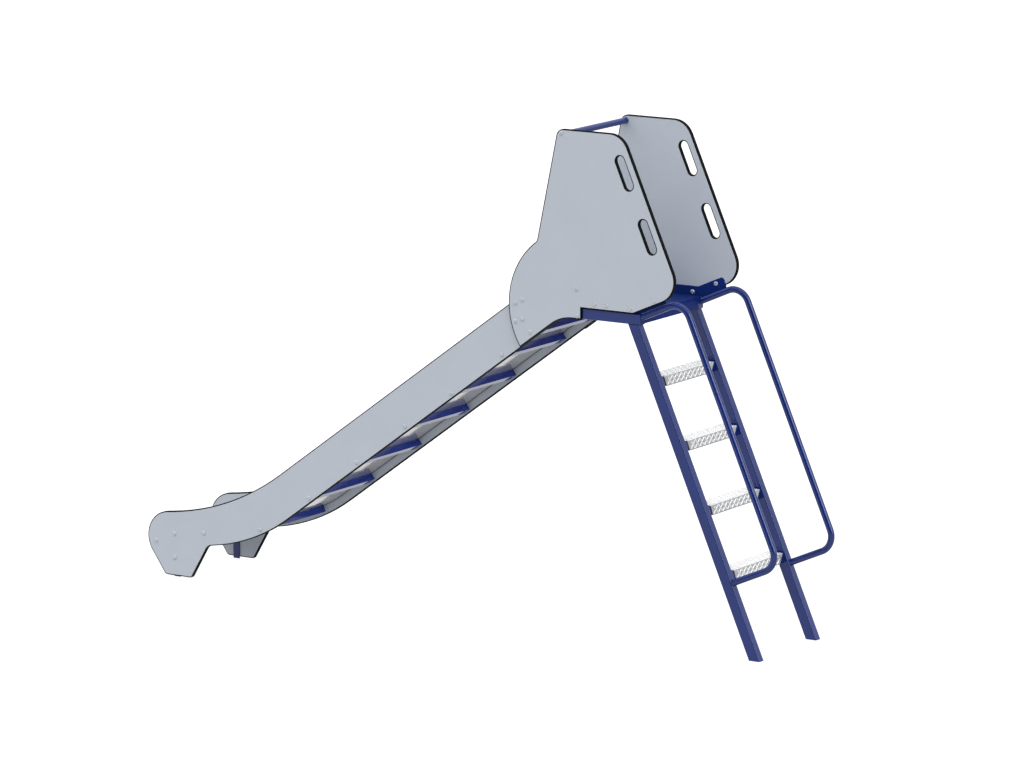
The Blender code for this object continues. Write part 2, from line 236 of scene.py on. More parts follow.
def shade(piece: Piece, angle: float = SMOOTH) -> None:
    """Shades a piece smooth up to an angle, with its flat faces kept flat.

    Args:
        piece: the piece to shade.
        angle: the widest corner that is still smooth.
    """
    take(piece)
    bpy.ops.object.shade_smooth_by_angle(angle=angle)
    flat = piece.modifiers.new("flat faces", "WEIGHTED_NORMAL")
    flat.keep_sharp = True
    bpy.ops.object.modifier_apply(modifier=flat.name)


def settle(piece: Piece, slot: Slot, nodes: tuple[str, ...], *finishes: Material) -> None:
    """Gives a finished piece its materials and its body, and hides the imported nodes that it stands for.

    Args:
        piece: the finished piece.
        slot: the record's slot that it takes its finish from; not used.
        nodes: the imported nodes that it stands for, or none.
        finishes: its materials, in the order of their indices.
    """
    for finish in finishes:
        piece.data.materials.append(finish)
    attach(piece, "root")
    if nodes:
        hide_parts(*nodes)
    LOG.info("%s: %d faces", piece.name, len(piece.data.polygons))


def dress(node: str, word: str, radius: float, steps: int, finish: Material,
          rule: EdgeRule = is_sharp) -> None:
    """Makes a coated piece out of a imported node: its shape, with rounded edges.

    Args:
        node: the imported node's name.
        word: what the piece's name has after the node's.
        radius: the size of the rounding.
        steps: faces across the rounding.
        finish: the coat.
        rule: says of an edge whether it is rounded.
    """
    piece = copy_node(node, f"{node}_{word}")
    round_edges(piece, radius, steps, rule)
    shade(piece)
    settle(piece, Slot.COATING, (node,), finish)


def in_place(piece: Piece, name: str) -> Piece:
    """Puts a new primitive's place, turn and scale into its mesh, and names it.

    Args:
        piece: the new primitive.
        name: its name.

    Returns:
        The same object.
    """
    take(piece)
    bpy.ops.object.transform_apply(location=True, rotation=True, scale=True)
    piece.name = piece.data.name = name
    return piece


def place_copy(pattern: Piece, name: str, matrix: Matrix) -> Piece:
    """Copies a modelled piece with a mesh of its own, moved by a matrix.

    Args:
        pattern: the piece modelled once, at the origin.
        name: the copy's name.
        matrix: where the copy goes.

    Returns:
        The copy.
    """
    copy = bpy.data.objects.new(name, pattern.data.copy())
    bpy.context.scene.collection.objects.link(copy)
    copy.data.name = name
    copy.data.transform(matrix)
    return copy


# Node trees


class Wiring:
    """Adds and joins the nodes of one tree."""

    def __init__(self, tree: Tree) -> None:
        """Keeps the tree to work on."""
        self.tree = tree

    def add(self, kind: str, values: dict[str, object] | None = None, **settings: object) -> Node:
        """Adds a node.

        Args:
            kind: the node's type, without its "ShaderNode" start.
            values: values or outputs for its inputs, by their names.
            settings: the node's own properties.

        Returns:
            The node.
        """
        node = self.tree.nodes.new("ShaderNode" + kind)
        for key, value in settings.items():
            setattr(node, key, value)
        for key, value in (values or {}).items():
            self.feed(node, key, value)
        return node

    def feed(self, node: Node, key: str | int, value: object) -> None:
        """Sets an input to a value, or joins an output to it.

        Args:
            node: the node with the input.
            key: the input's name or number.
            value: the value, or another node's output.
        """
        if isinstance(value, Socket):
            self.tree.links.new(value, node.inputs[key])
        else:
            node.inputs[key].default_value = value

    def sum(self, operation: str, *values: object) -> Socket:
        """Adds a Math node.

        Args:
            operation: the node's operation.
            values: values or outputs for its inputs, in their order.

        Returns:
            The node's output.
        """
        node = self.add("Math", operation=operation)
        for index, value in enumerate(values):
            self.feed(node, index, value)
        return node.outputs[0]

    def mix(self, share: object, first: object, second: object) -> Socket:
        """Mixes two colours.

        Args:
            share: the second colour's share.
            first: the first colour, or an output.
            second: the second colour, or an output.

        Returns:
            The mixed colour.
        """
        node = self.add("Mix", data_type="RGBA")
        for index, value in ((0, share), (6, first), (7, second)):
            self.feed(node, index, value)
        return node.outputs[2]

    def ramp(self, value: object, low: float, high: float, start: float = 0.0, end: float = 1.0) -> Socket:
        """Stretches a value from one range to another, and returns the result."""
        node = self.add("MapRange", {"Value": value, "From Min": low, "From Max": high,
                                     "To Min": start, "To Max": end})
        return node.outputs["Result"]

    def group(self, tree: Tree, values: dict[str, object]) -> Node:
        """Places a node group with its own values.

        Args:
            tree: the group.
            values: values or outputs for its inputs, by their names.

        Returns:
            The group's node.
        """
        node = self.tree.nodes.new("ShaderNodeGroup")
        node.node_tree = tree
        for key, value in values.items():
            self.feed(node, key, value)
        return node


class Effect:
    """A shader node group that several finishes share."""

    def __init__(self, name: str, inputs: dict[str, float | Point], outputs: tuple[str, ...]) -> None:
        """Starts the group and its sockets.

        Args:
            name: the effect's name.
            inputs: its inputs and their usual values; a triple makes a vector.
            outputs: the names of the values that it puts out.
        """
        self.tree = bpy.data.node_groups.new(name, "ShaderNodeTree")
        for key, value in inputs.items():
            kind = "NodeSocketVector" if isinstance(value, tuple) else "NodeSocketFloat"
            socket = self.tree.interface.new_socket(key, in_out="INPUT", socket_type=kind)
            socket.default_value = value
        for key in outputs:
            self.tree.interface.new_socket(key, in_out="OUTPUT", socket_type="NodeSocketFloat")
        self.wiring = Wiring(self.tree)
        self.source = self.tree.nodes.new("NodeGroupInput").outputs
        self.result = self.tree.nodes.new("NodeGroupOutput")

    def give(self, key: str, value: Socket) -> None:
        """Joins a value to one of the group's outputs."""
        self.wiring.feed(self.result, key, value)


def make_grain() -> Tree:
    """Builds the fine pebbled grain of moulded board and of powder coat.

    Returns:
        The node group.
    """
    effect = Effect(
        "pebble_grain", {"Vector": (0.0, 0.0, 0.0), "Pebbles per metre": 400.0, "Unevenness": 0.4},
        ("Height", "Mottle"))
    wires, source = effect.wiring, effect.source
    cells = wires.add("TexVoronoi", {"Vector": source[0], "Scale": source[1], "Smoothness": 0.6},
                      feature="SMOOTH_F1")
    drift = wires.add("TexNoise", {"Vector": source[0], "Scale": source[1], "Detail": 3.0})
    slow = wires.add("TexNoise", {"Vector": source[0], "Scale": 6.0, "Detail": 4.0, "Roughness": 0.6})
    part = wires.sum("MULTIPLY", drift.outputs[0], source[2])
    effect.give("Height", wires.sum("ADD", cells.outputs["Distance"], part))
    effect.give("Mottle", slow.outputs[0])
    return effect.tree


def make_dust() -> Tree:
    """Builds the thin dust that lies on faces that look up.

    Returns:
        The node group.
    """
    effect = Effect("settled_dust", {"Vector": (0.0, 0.0, 0.0), "Amount": 0.3}, ("Mask",))
    wires, source = effect.wiring, effect.source
    normal = wires.add("NewGeometry").outputs["Normal"]
    up = wires.add("SeparateXYZ", {0: normal}).outputs[2]
    patches = wires.add("TexNoise", {"Vector": source[0], "Scale": 22.0, "Detail": 6.0, "Roughness": 0.65})
    lying = wires.ramp(up, 0.55, 1.0)
    spread = wires.ramp(patches.outputs[0], 0.35, 0.75)
    effect.give("Mask", wires.sum("MULTIPLY", wires.sum("MULTIPLY", lying, spread), source[1]))
    return effect.tree


def make_rubbed_edges() -> Tree:
    """Builds the mask of corners where a finish is thinner or polished by use.

    Returns:
        The node group.
    """
    effect = Effect("rubbed_edges", {"Vector": (0.0, 0.0, 0.0), "Width": 0.002, "Amount": 0.5}, ("Mask",))
    wires, source = effect.wiring, effect.source
    rounded = wires.add("Bevel", {"Radius": source[1]}, samples=4).outputs[0]
    plain = wires.add("NewGeometry").outputs["Normal"]
    turn = wires.add("VectorMath", {0: rounded, 1: plain}, operation="DOT_PRODUCT").outputs["Value"]
    broken = wires.add("TexNoise", {"Vector": source[0], "Scale": 55.0, "Detail": 5.0, "Roughness": 0.7})
    corner = wires.ramp(turn, 0.995, 0.9)
    patchy = wires.ramp(broken.outputs[0], 0.35, 0.65)
    effect.give("Mask", wires.sum("MULTIPLY", wires.sum("MULTIPLY", corner, patchy), source[2]))
    return effect.tree


def make_scratches() -> Tree:
    """Builds fine lines along x and the bend of a sheet, as brushing and sliding leave them.

    Returns:
        The node group.
    """
    effect = Effect("fine_lines", {"Vector": (0.0, 0.0, 0.0), "Lines per metre": 900.0, "Length": 40.0},
                    ("Height", "Mask"))
    wires, source = effect.wiring, effect.source
    parts = wires.add("SeparateXYZ", {0: source[0]})
    run = wires.sum("DIVIDE", source[1], source[2])
    x = wires.sum("MULTIPLY", parts.outputs[0], run)
    y = wires.sum("MULTIPLY", parts.outputs[1], source[1])
    z = wires.sum("MULTIPLY", parts.outputs[2], run)
    stretched = wires.add("CombineXYZ", {0: x, 1: y, 2: z}).outputs[0]
    lines = wires.add("TexNoise", {"Vector": stretched, "Scale": 1.0, "Detail": 4.0, "Roughness": 0.7})
    effect.give("Height", lines.outputs[0])
    effect.give("Mask", wires.ramp(lines.outputs[0], *MOTTLE))
    return effect.tree


GRAIN, DUST, RUBBED, LINES = make_grain(), make_dust(), make_rubbed_edges(), make_scratches()


@dataclass(frozen=True)
class Finish:
    """What every finish has: a name, a colour, a roughness that drifts, a grain and some dust."""

    name: str
    colour: Colour
    rough: float
    metallic: float = 0.0
    grain_scale: float = 400.0
    grain_depth: float = 0.00005
    dust: float = 0.0
    dust_colour: Colour = (0.5, 0.49, 0.46, 1.0)
    drift: Pair = (0.06, 0.06)

    @property
    def spread(self) -> Pair:
        """The least and the greatest roughness."""
        return self.rough - self.drift[0], self.rough + self.drift[1]

    def start(self) -> tuple[Material, Wiring, Node, Socket]:
        """Starts the material.

        Returns:
            The material, its wiring, its shader and the object coordinates.
        """
        material = bpy.data.materials.new(self.name)
        material.use_nodes = True
        wires = Wiring(material.node_tree)
        shader = material.node_tree.nodes["Principled BSDF"]
        shader.inputs["Metallic"].default_value = self.metallic
        place = wires.add("TexCoord").outputs["Object"]
        return material, wires, shader, place

    def bump(self, wires: Wiring, shader: Node, height: Socket, depth: float) -> None:
        """Raises the surface by a height map.

        Args:
            wires: the material's wiring.
            shader: the shader whose Normal is fed.
            height: the height map, from 0 to 1.
            depth: the height of 1, in metres.
        """
        node = wires.add("Bump", {"Height": height, "Distance": depth, "Strength": 1.0})
        wires.feed(shader, "Normal", node.outputs[0])


@dataclass(frozen=True)
class BoardSkin(Finish):
    """The pale moulded skin of two-colour board, or its dark core with the cutter's marks."""

    second: Colour = (0.4, 0.4, 0.4, 1.0)
    gloss: float = 0.5
    cutter_marks: bool = False
    marks_per_metre: float = 1400.0
    marks_squash: Point = (1.0, 0.02, 1.0)
    marks_share: float = 1.5

    def make(self) -> Material:
        """Builds the material.

        Returns:
            The material.
        """
        material, wires, shader, place = self.start()
        grain = wires.group(GRAIN, {"Vector": place, "Pebbles per metre": self.grain_scale})
        tone = wires.mix(wires.ramp(grain.outputs["Mottle"], *MOTTLE), self.colour, self.second)
        dust = wires.group(DUST, {"Vector": place, "Amount": self.dust})
        wires.feed(shader, "Base Color", wires.mix(dust.outputs[0], tone, self.dust_colour))
        wires.feed(shader, "Roughness", wires.ramp(grain.outputs["Height"], 0.0, 1.2, *self.spread))
        shader.inputs["Specular IOR Level"].default_value = self.gloss
        height = grain.outputs["Height"]
        if self.cutter_marks:
            squashed = wires.add("Mapping", {"Vector": place, "Scale": self.marks_squash}).outputs[0]
            marks = wires.add("TexNoise", {"Vector": squashed, "Scale": self.marks_per_metre, "Detail": 2.0})
            height = wires.sum("ADD", height, wires.sum("MULTIPLY", marks.outputs[0], self.marks_share))
        self.bump(wires, shader, height, self.grain_depth)
        return material


@dataclass(frozen=True)
class Coating(Finish):
    """Gloss powder coat over steel, with its orange peel and thinner corners."""

    thin: Colour = (0.05, 0.09, 0.3, 1.0)
    rubbed: float = 0.35
    gloss: float = 0.5
    dust_colour: Colour = (0.3, 0.3, 0.32, 1.0)
    dust_rough: float = 0.4
    drift: Pair = (0.04, 0.05)
    shade: float = 0.82

    def make(self) -> Material:
        """Builds the material.

        Returns:
            The material.
        """
        material, wires, shader, place = self.start()
        grain = wires.group(GRAIN, {"Vector": place, "Pebbles per metre": self.grain_scale})
        worn = wires.group(RUBBED, {"Vector": place, "Amount": self.rubbed})
        dust = wires.group(DUST, {"Vector": place, "Amount": self.dust})
        deep = tuple(self.shade * part for part in self.colour[:3]) + (1.0,)
        tone = wires.mix(wires.ramp(grain.outputs["Mottle"], *MOTTLE), deep, self.colour)
        tone = wires.mix(worn.outputs[0], tone, self.thin)
        wires.feed(shader, "Base Color", wires.mix(dust.outputs[0], tone, self.dust_colour))
        rough = wires.ramp(grain.outputs["Mottle"], *MOTTLE, *self.spread)
        dusty = wires.sum("MULTIPLY", dust.outputs[0], self.dust_rough)
        wires.feed(shader, "Roughness", wires.sum("ADD", rough, dusty))
        shader.inputs["Specular IOR Level"].default_value = self.gloss
        self.bump(wires, shader, grain.outputs["Height"], self.grain_depth)
        return material


@dataclass(frozen=True)
class Stainless(Finish):
    """Bright rolled stainless sheet with fine lines down the slope; its roughness drifts by shares."""

    drift: Pair = (0.75, 1.3)
    shade: float = 0.86
    line_rough: float = 0.05

    @property
    def spread(self) -> Pair:
        """The least and the greatest roughness."""
        return self.rough * self.drift[0], self.rough * self.drift[1]

    def make(self) -> Material:
        """Builds the material.

        Returns:
            The material.
        """
        material, wires, shader, place = self.start()
        lines = wires.group(LINES, {"Vector": place})
        grain = wires.group(GRAIN, {"Vector": place, "Pebbles per metre": self.grain_scale})
        dark = tuple(self.shade * part for part in self.colour[:3]) + (1.0,)
        wires.feed(shader, "Base Color", wires.mix(lines.outputs["Mask"], dark, self.colour))
        smear = wires.ramp(grain.outputs["Mottle"], *MOTTLE, *self.spread)
        scored = wires.sum("MULTIPLY", lines.outputs["Mask"], self.line_rough)
        wires.feed(shader, "Roughness", wires.sum("ADD", smear, scored))
        self.bump(wires, shader, lines.outputs["Height"], self.grain_depth)
        return material


@dataclass(frozen=True)
class Galvanised(Finish):
    """Zinc coat with its flat crystals."""

    spangle: float = 90.0
    contrast: float = 0.12
    dust_colour: Colour = (0.5, 0.5, 0.48, 1.0)
    drift: Pair = (0.05, 0.05)

    def make(self) -> Material:
        """Builds the material.

        Returns:
            The material.
        """
        material, wires, shader, place = self.start()
        crystals = wires.add("TexVoronoi", {"Vector": place, "Scale": self.spangle})
        shades = wires.add("SeparateColor", {0: crystals.outputs["Color"]}).outputs[0]
        grain = wires.group(GRAIN, {"Vector": place, "Pebbles per metre": self.grain_scale})
        dark = tuple((1 - self.contrast) * part for part in self.colour[:3]) + (1.0,)
        tone = wires.mix(shades, dark, self.colour)
        dust = wires.group(DUST, {"Vector": place, "Amount": self.dust})
        wires.feed(shader, "Base Color", wires.mix(dust.outputs[0], tone, self.dust_colour))
        wires.feed(shader, "Roughness", wires.ramp(shades, 0.0, 1.0, *self.spread))
        self.bump(wires, shader, grain.outputs["Height"], self.grain_depth)
        return material


@dataclass
class Finishes:
    """All the slide's finishes."""

    skin: Material = field(default_factory=BoardSkin(
        "pale board skin", (0.454, 0.494, 0.554, 1.0), 0.5, grain_scale=650.0, grain_depth=0.00004,
        dust=0.15, second=(0.471, 0.512, 0.573, 1.0)).make)
    core: Material = field(default_factory=BoardSkin(
        "black board core", (0.004, 0.0045, 0.005, 1.0), 0.6, grain_scale=900.0, grain_depth=0.00003,
        dust=0.004, second=(0.007, 0.007, 0.008, 1.0), cutter_marks=True, gloss=0.03).make)
    coating: Material = field(default_factory=Coating(
        "navy powder coat", (0.005, 0.023, 0.165, 1.0), 0.08, grain_scale=420.0, grain_depth=0.000015,
        dust=0.03, rubbed=0.12).make)
    deck: Material = field(default_factory=Coating(
        "non-slip navy coat", (0.004, 0.021, 0.155, 1.0), 0.5, grain_scale=700.0, grain_depth=0.00008,
        dust=0.03, rubbed=0.1, gloss=0.09).make)
    # The crossbars' coat is the same navy, painted lighter and bluer: painted light on their faces under the
    # bed.
    bars: Material = field(default_factory=Coating(
        "crossbar powder coat", (0.008, 0.034, 0.3, 1.0), 0.1, grain_scale=420.0, grain_depth=0.000015,
        dust=0.03, rubbed=0.1).make)
    sheet: Material = field(default_factory=Stainless(
        "worn stainless", (0.56, 0.565, 0.57, 1.0), 0.2, metallic=1.0, grain_depth=0.000008).make)
    sheet_back: Material = field(default_factory=Stainless(
        "mill stainless", (0.68, 0.68, 0.675, 1.0), 0.08, metallic=0.6, grain_depth=0.000002).make)
    zinc: Material = field(default_factory=Galvanised(
        "galvanised sheet", (0.47, 0.475, 0.485, 1.0), 0.38, metallic=0.4, grain_scale=500.0,
        grain_depth=0.00002, dust=0.05).make)
    # The lighter zinc of the steps' tops and raised bars: partly rubbed wear, partly painted light on the
    # faces that look up.
    rubbed_zinc: Material = field(default_factory=Galvanised(
        "zinc rubbed bright", (0.9, 0.905, 0.91, 1.0), 0.3, metallic=0.45, grain_scale=800.0,
        grain_depth=0.00001, spangle=300.0, contrast=0.1).make)
    fixing: Material = field(default_factory=Galvanised(
        "bright fixing", (0.62, 0.64, 0.67, 1.0), 0.26, metallic=0.6, grain_scale=900.0,
        grain_depth=0.00001, spangle=400.0).make)
    cap: Material = field(default_factory=BoardSkin(
        "pale bolt cap", (0.46, 0.5, 0.56, 1.0), 0.25, grain_scale=900.0, grain_depth=0.00001,
        dust=0.1, second=(0.48, 0.52, 0.58, 1.0)).make)
    # A thin dark bead along each edge of the bed, where it meets the side.
    seal: Material = field(default_factory=BoardSkin(
        "dark edge bead", (0.01, 0.01, 0.011, 1.0), 0.6, grain_scale=500.0, grain_depth=0.00006,
        dust=0.01, second=(0.02, 0.02, 0.021, 1.0), gloss=0.2).make)


# The boards


@dataclass
class Boards:
    """The two guards and the two chute sides, cut from two-colour board."""

    rim_radius: float = 0.002
    rim_steps: int = 3
    skin_trim: float = 0.003
    nodes: tuple[str, ...] = ("guard_panel", "chute_side")

    def build(self, finishes: Finishes) -> None:
        """Cuts each board with rounded rims that show its dark core.

        Args:
            finishes: the slide's finishes.
        """
        for side in Side:
            for node in self.nodes:
                name = f"{node}_{side.word}"
                board = copy_node(name, f"{name}_board")
                round_edges(board, self.rim_radius, self.rim_steps)
                with editing(board):
                    pick_faces(board, lambda face: abs(face.normal.y) > FULLY_SIDEWAYS)
                    bpy.ops.mesh.inset(thickness=self.skin_trim, use_even_offset=True)
                for face in board.data.polygons:
                    face.material_index = 0 if face.select else 1
                shade(board)
                settle(board, Slot.PANEL, (name,), finishes.skin, finishes.core)


# The chute


@dataclass
class Chute:
    """The bent stainless bed, its crossbars and the posts in the exit feet."""

    sheet_edge: float = 0.0007
    half_width: float = 0.2409
    seal_width: float = 0.003
    seal_height: float = 0.0011
    bar_corner: float = 0.001
    bar_steps: int = 3
    post_edge: float = 0.0012
    bars: int = 9

    def build(self, finishes: Finishes) -> None:
        """Builds the bed, the bars and the posts.

        Args:
            finishes: the slide's finishes.
        """
        bed = copy_node("chute_bed", "chute_bed_sheet")
        round_edges(bed, self.sheet_edge, FINE_STEPS)
        shade(bed)
        for face in bed.data.polygons:
            face.material_index = 0 if face.normal.z > 0 else 1
        settle(bed, Slot.SHEET, ("chute_bed",), finishes.sheet, finishes.sheet_back)
        for side in Side:
            self.seal(side, finishes)
        for number in range(1, self.bars + 1):
            # The crossbars take the navy coat with painted light.
            dress(f"chute_bar_{number}", "tube", self.bar_corner, self.bar_steps, finishes.bars,
                  along((0, 1, 0)))
        for side in Side:
            dress(f"exit_post_{side.word}", "bar", self.post_edge, FINE_STEPS, finishes.coating)

    def seal(self, side: Side, finishes: Finishes) -> None:
        """Runs a thin dark bead along one edge of the bed, over and under it, where the bed meets the side.

        Args:
            side: the edge's side.
            finishes: the slide's finishes.
        """
        bead = copy_node("chute_bed", f"chute_seal_{side.word}")
        sign = side.value
        with editing(bead):
            for y, outward in ((self.half_width - self.seal_width, -1), (self.half_width, 1)):
                bpy.ops.mesh.select_all(action="SELECT")
                if outward > 0:
                    bpy.ops.transform.shrink_fatten(value=self.seal_height, use_even_offset=True)
                bpy.ops.mesh.bisect(plane_co=(0, sign * y, 0), plane_no=(0, sign * outward, 0),
                                    clear_outer=True, use_fill=True)
        shade(bead)
        settle(bead, Slot.SHEET, (), finishes.seal)


# The platform


@dataclass
class Platform:
    """The folded deck and the beams under it."""

    deck_edge: float = 0.001
    beam_corner: float = 0.005
    beam_steps: int = 3

    def build(self, finishes: Finishes) -> None:
        """Builds the deck and its four beams.

        Args:
            finishes: the slide's finishes.
        """
        dress("platform_deck", "tray", self.deck_edge, FINE_STEPS, finishes.deck)
        beams = (("platform_beam_left", (1, 0, 0)), ("platform_beam_right", (1, 0, 0)),
                 ("platform_cross_beam_front", (0, 1, 0)), ("platform_cross_beam_rear", (0, 1, 0)))
        for node, way in beams:
            dress(node, "tube", self.beam_corner, self.beam_steps, finishes.coating, along(way))


# The ladder


@dataclass
class Rail:
    """One looped hand rail: two legs out of the stringer, two bends and a long straight run."""

    side: Side
    radius: float = 0.0154
    bend: float = 0.077
    stand_off: float = 0.2512
    low: float = 0.3669
    high: float = 1.6023
    foot_x: float = 1.6274
    y: float = 0.252
    points: int = 28
    bend_steps: int = 12
    weld: float = 0.0024
    weld_stand: float = 0.0006
    weld_ripple: float = 0.0004
    weld_points: int = 56
    weld_sides: int = 8
    weld_smooth: float = math.radians(60)

    def point(self, along_stringer: float, out: float) -> Vector:
        """Gives a point by its place on the stringer's front face.

        Args:
            along_stringer: how far up the face.
            out: how far out from it.

        Returns:
            The point.
        """
        cos, sin = math.cos(LEAN), math.sin(LEAN)
        return Vector((self.foot_x - cos * along_stringer + sin * out, self.side.value * self.y,
                       sin * along_stringer + cos * out))

    def build(self, finishes: Finishes) -> None:
        """Bends the rail from one ring: leg, bend, run, bend, leg.

        Args:
            finishes: the slide's finishes.
        """
        up = Vector((-math.cos(LEAN), 0.0, math.sin(LEAN)))
        out = Vector((math.sin(LEAN), 0.0, math.cos(LEAN)))
        bent = self.stand_off - self.bend
        start = self.point(self.low, 0.0)
        turn = out.to_track_quat("Z", "Y").to_euler()
        bpy.ops.mesh.primitive_circle_add(vertices=self.points, radius=self.radius, fill_type="NOTHING",
                                          location=start, rotation=turn)
        name = f"hand_rail_{self.side.word}"
        rail = in_place(bpy.context.object, f"{name}_tube")
        run = self.high - self.low - 2 * self.bend
        with editing(rail):
            bpy.ops.mesh.select_all(action="SELECT")
            self.draw(out * bent)
            self.turn(self.point(self.low + self.bend, bent))
            self.draw(up * run)
            self.turn(self.point(self.high - self.bend, bent))
            self.draw(out * -bent)
            bpy.ops.mesh.select_all(action="SELECT")
            bpy.ops.mesh.remove_doubles(threshold=MERGE)
            bpy.ops.mesh.normals_make_consistent(inside=False)
        shade(rail)
        settle(rail, Slot.COATING, (name,), finishes.coating)
        for word, place in (("low", self.low), ("high", self.high)):
            self.run_weld(f"{name}_weld_{word}", self.point(place, 0.0), turn, finishes)

    def run_weld(self, name: str, place: Vector, turn: Euler, finishes: Finishes) -> None:
        """Runs a rippled weld round the end of a leg.

        Args:
            name: the weld's name.
            place: the middle of the leg's end.
            turn: the leg's turn.
            finishes: the slide's finishes.
        """
        bpy.ops.mesh.primitive_torus_add(
            major_radius=self.radius + self.weld_stand, minor_radius=self.weld, location=place,
            rotation=turn, major_segments=self.weld_points, minor_segments=self.weld_sides)
        bead = in_place(bpy.context.object, name)
        with editing(bead):
            bpy.ops.mesh.select_mode(type="VERT")
            bpy.ops.mesh.select_all(action="DESELECT")
            mesh = bmesh.from_edit_mesh(bead.data)
            for vertex in mesh.verts:
                vertex.select_set(vertex.index // self.weld_sides % 2 == 0)
            bmesh.update_edit_mesh(bead.data)
            bpy.ops.transform.shrink_fatten(value=-self.weld_ripple)
        shade(bead, self.weld_smooth)
        settle(bead, Slot.COATING, (), finishes.coating)

    def draw(self, way: Vector) -> None:
        """Pulls the open ring straight along a way."""
        bpy.ops.mesh.extrude_region_move(TRANSFORM_OT_translate={"value": way})

    def turn(self, centre: Vector) -> None:
        """Turns the open ring a quarter about a bend's centre."""
        bpy.ops.mesh.spin(steps=self.bend_steps, angle=math.pi / 2, center=centre, axis=(0, 1, 0),
                          dupli=False)


@dataclass
class Ladder:
    """The stringers, the hand rails, the steps and their brackets."""

    stringer_corner: float = 0.005
    stringer_steps: int = 4
    bracket_edge: float = 0.0012
    steps: int = 4

    def build(self, finishes: Finishes) -> None:
        """Builds the ladder's pieces.

        Args:
            finishes: the slide's finishes.
        """
        up = (-math.cos(LEAN), 0.0, math.sin(LEAN))
        for side in Side:
            dress(f"stringer_{side.word}", "tube", self.stringer_corner, self.stringer_steps,
                  finishes.coating, along(up))
            Rail(side).build(finishes)
            for number in range(1, self.steps + 1):
                dress(f"step_bracket_{number}_{side.word}", "plate", self.bracket_edge, FINE_STEPS,
                      finishes.coating)
        Treads(self.steps).build(finishes)


@dataclass
class Treads:
    """The folded steps of tread plate, with raised bars that cross the other way at each place."""

    steps: int
    fold: float = 0.003
    fold_steps: int = 3
    bar_half_length: float = 0.0146
    bar_half_width: float = 0.0041
    bar_height: float = 0.002
    bar_sink: float = 0.0004
    bar_edge: float = 0.0005
    bar_crown: Point = (0.86, 0.5, 1.0)
    bar_points: int = 12
    bar_smooth: float = math.radians(50)
    # The upward cosine above which a step's plain face takes the lighter zinc, painted light on the top.
    level: float = 0.9
    pitch_across: float = 0.0195
    pitch: float = 0.0195
    top_columns: int = 10
    top_rows: int = 4
    low_columns: int = 9
    front_rows: int = 2

    def bar(self) -> Piece:
        """Presses one raised bar at the origin, along x and with its crown towards +Z.

        Returns:
            The bar, open underneath.
        """
        depth = self.bar_height + self.bar_sink
        bpy.ops.mesh.primitive_cylinder_add(vertices=self.bar_points, radius=1.0, depth=depth,
                                            location=(0, 0, depth / 2 - self.bar_sink),
                                            scale=(self.bar_half_length, self.bar_half_width, 1.0))
        bar = in_place(bpy.context.object, "tread_bar_pattern")
        top = self.bar_height - MERGE
        with editing(bar):
            pick_faces(bar, lambda face: all(v.co.z > top for v in face.verts))
            bpy.ops.transform.resize(value=self.bar_crown, center_override=(0, 0, self.bar_height))
            pick_edges(bar, lambda edge: all(v.co.z > top for v in edge.verts))
            bpy.ops.mesh.bevel(offset=self.bar_edge, segments=FINE_STEPS, affect="EDGES")
            pick_faces(bar, lambda face: all(v.co.z < MERGE - self.bar_sink for v in face.verts))
            bpy.ops.mesh.delete(type="FACE")
        shade(bar, self.bar_smooth)
        return bar

    def places(self, low: Vector, high: Vector) -> Iterator[Matrix]:
        """Gives the place of every bar on one step's top and front.

        Args:
            low: the step's lowest corner.
            high: the step's highest corner.

        Yields:
            The matrix of each bar.
        """
        across = (low[0] + high[0]) / 2
        middle = (low[2] + high[2]) / 2
        front = Matrix.Rotation(math.pi / 2, 4, "Y")
        slope = math.atan2(self.pitch, self.pitch_across)
        for columns, rows, axis in ((self.top_columns, self.top_rows, "Z"),
                                    (self.low_columns, self.front_rows, "X")):
            for column in range(-columns, columns + 1):
                y = column * self.pitch_across
                for row in range(rows):
                    step = (row - (rows - 1) / 2) * self.pitch
                    turn = Matrix.Rotation(math.pi / 2 + slope * (1 if (column + row) % 2 else -1), 4, axis)
                    if axis == "Z":
                        yield Matrix.Translation((across + step, y, high[2])) @ turn
                    else:
                        yield Matrix.Translation((high[0], y, middle + step)) @ turn @ front

    def build(self, finishes: Finishes) -> None:
        """Folds each step and presses its bars, which take the lighter zinc as its top does: rubbed bright,
        and painted light.

        Args:
            finishes: the slide's finishes.
        """
        bar = self.bar()
        for number in range(1, self.steps + 1):
            node = f"step_{number}"
            low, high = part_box(node)
            step = copy_node(node, f"{node}_tread")
            round_edges(step, self.fold, self.fold_steps, along((0, 1, 0)))
            shade(step)
            copies = [place_copy(bar, "bar", place) for place in self.places(low, high)]
            plain = len(step.data.polygons)
            take(step)
            for copy in copies:
                copy.select_set(True)
            bpy.ops.object.join()
            # Tops and raised bars take the lighter zinc and the plate between the front's bars the darker:
            # partly wear, partly painted light and painted shade.
            for face in step.data.polygons:
                face.material_index = 0 if face.index < plain and face.normal.z < self.level else 1
            settle(step, Slot.ZINC, (node,), finishes.zinc, finishes.rubbed_zinc)
        bpy.data.objects.remove(bar)


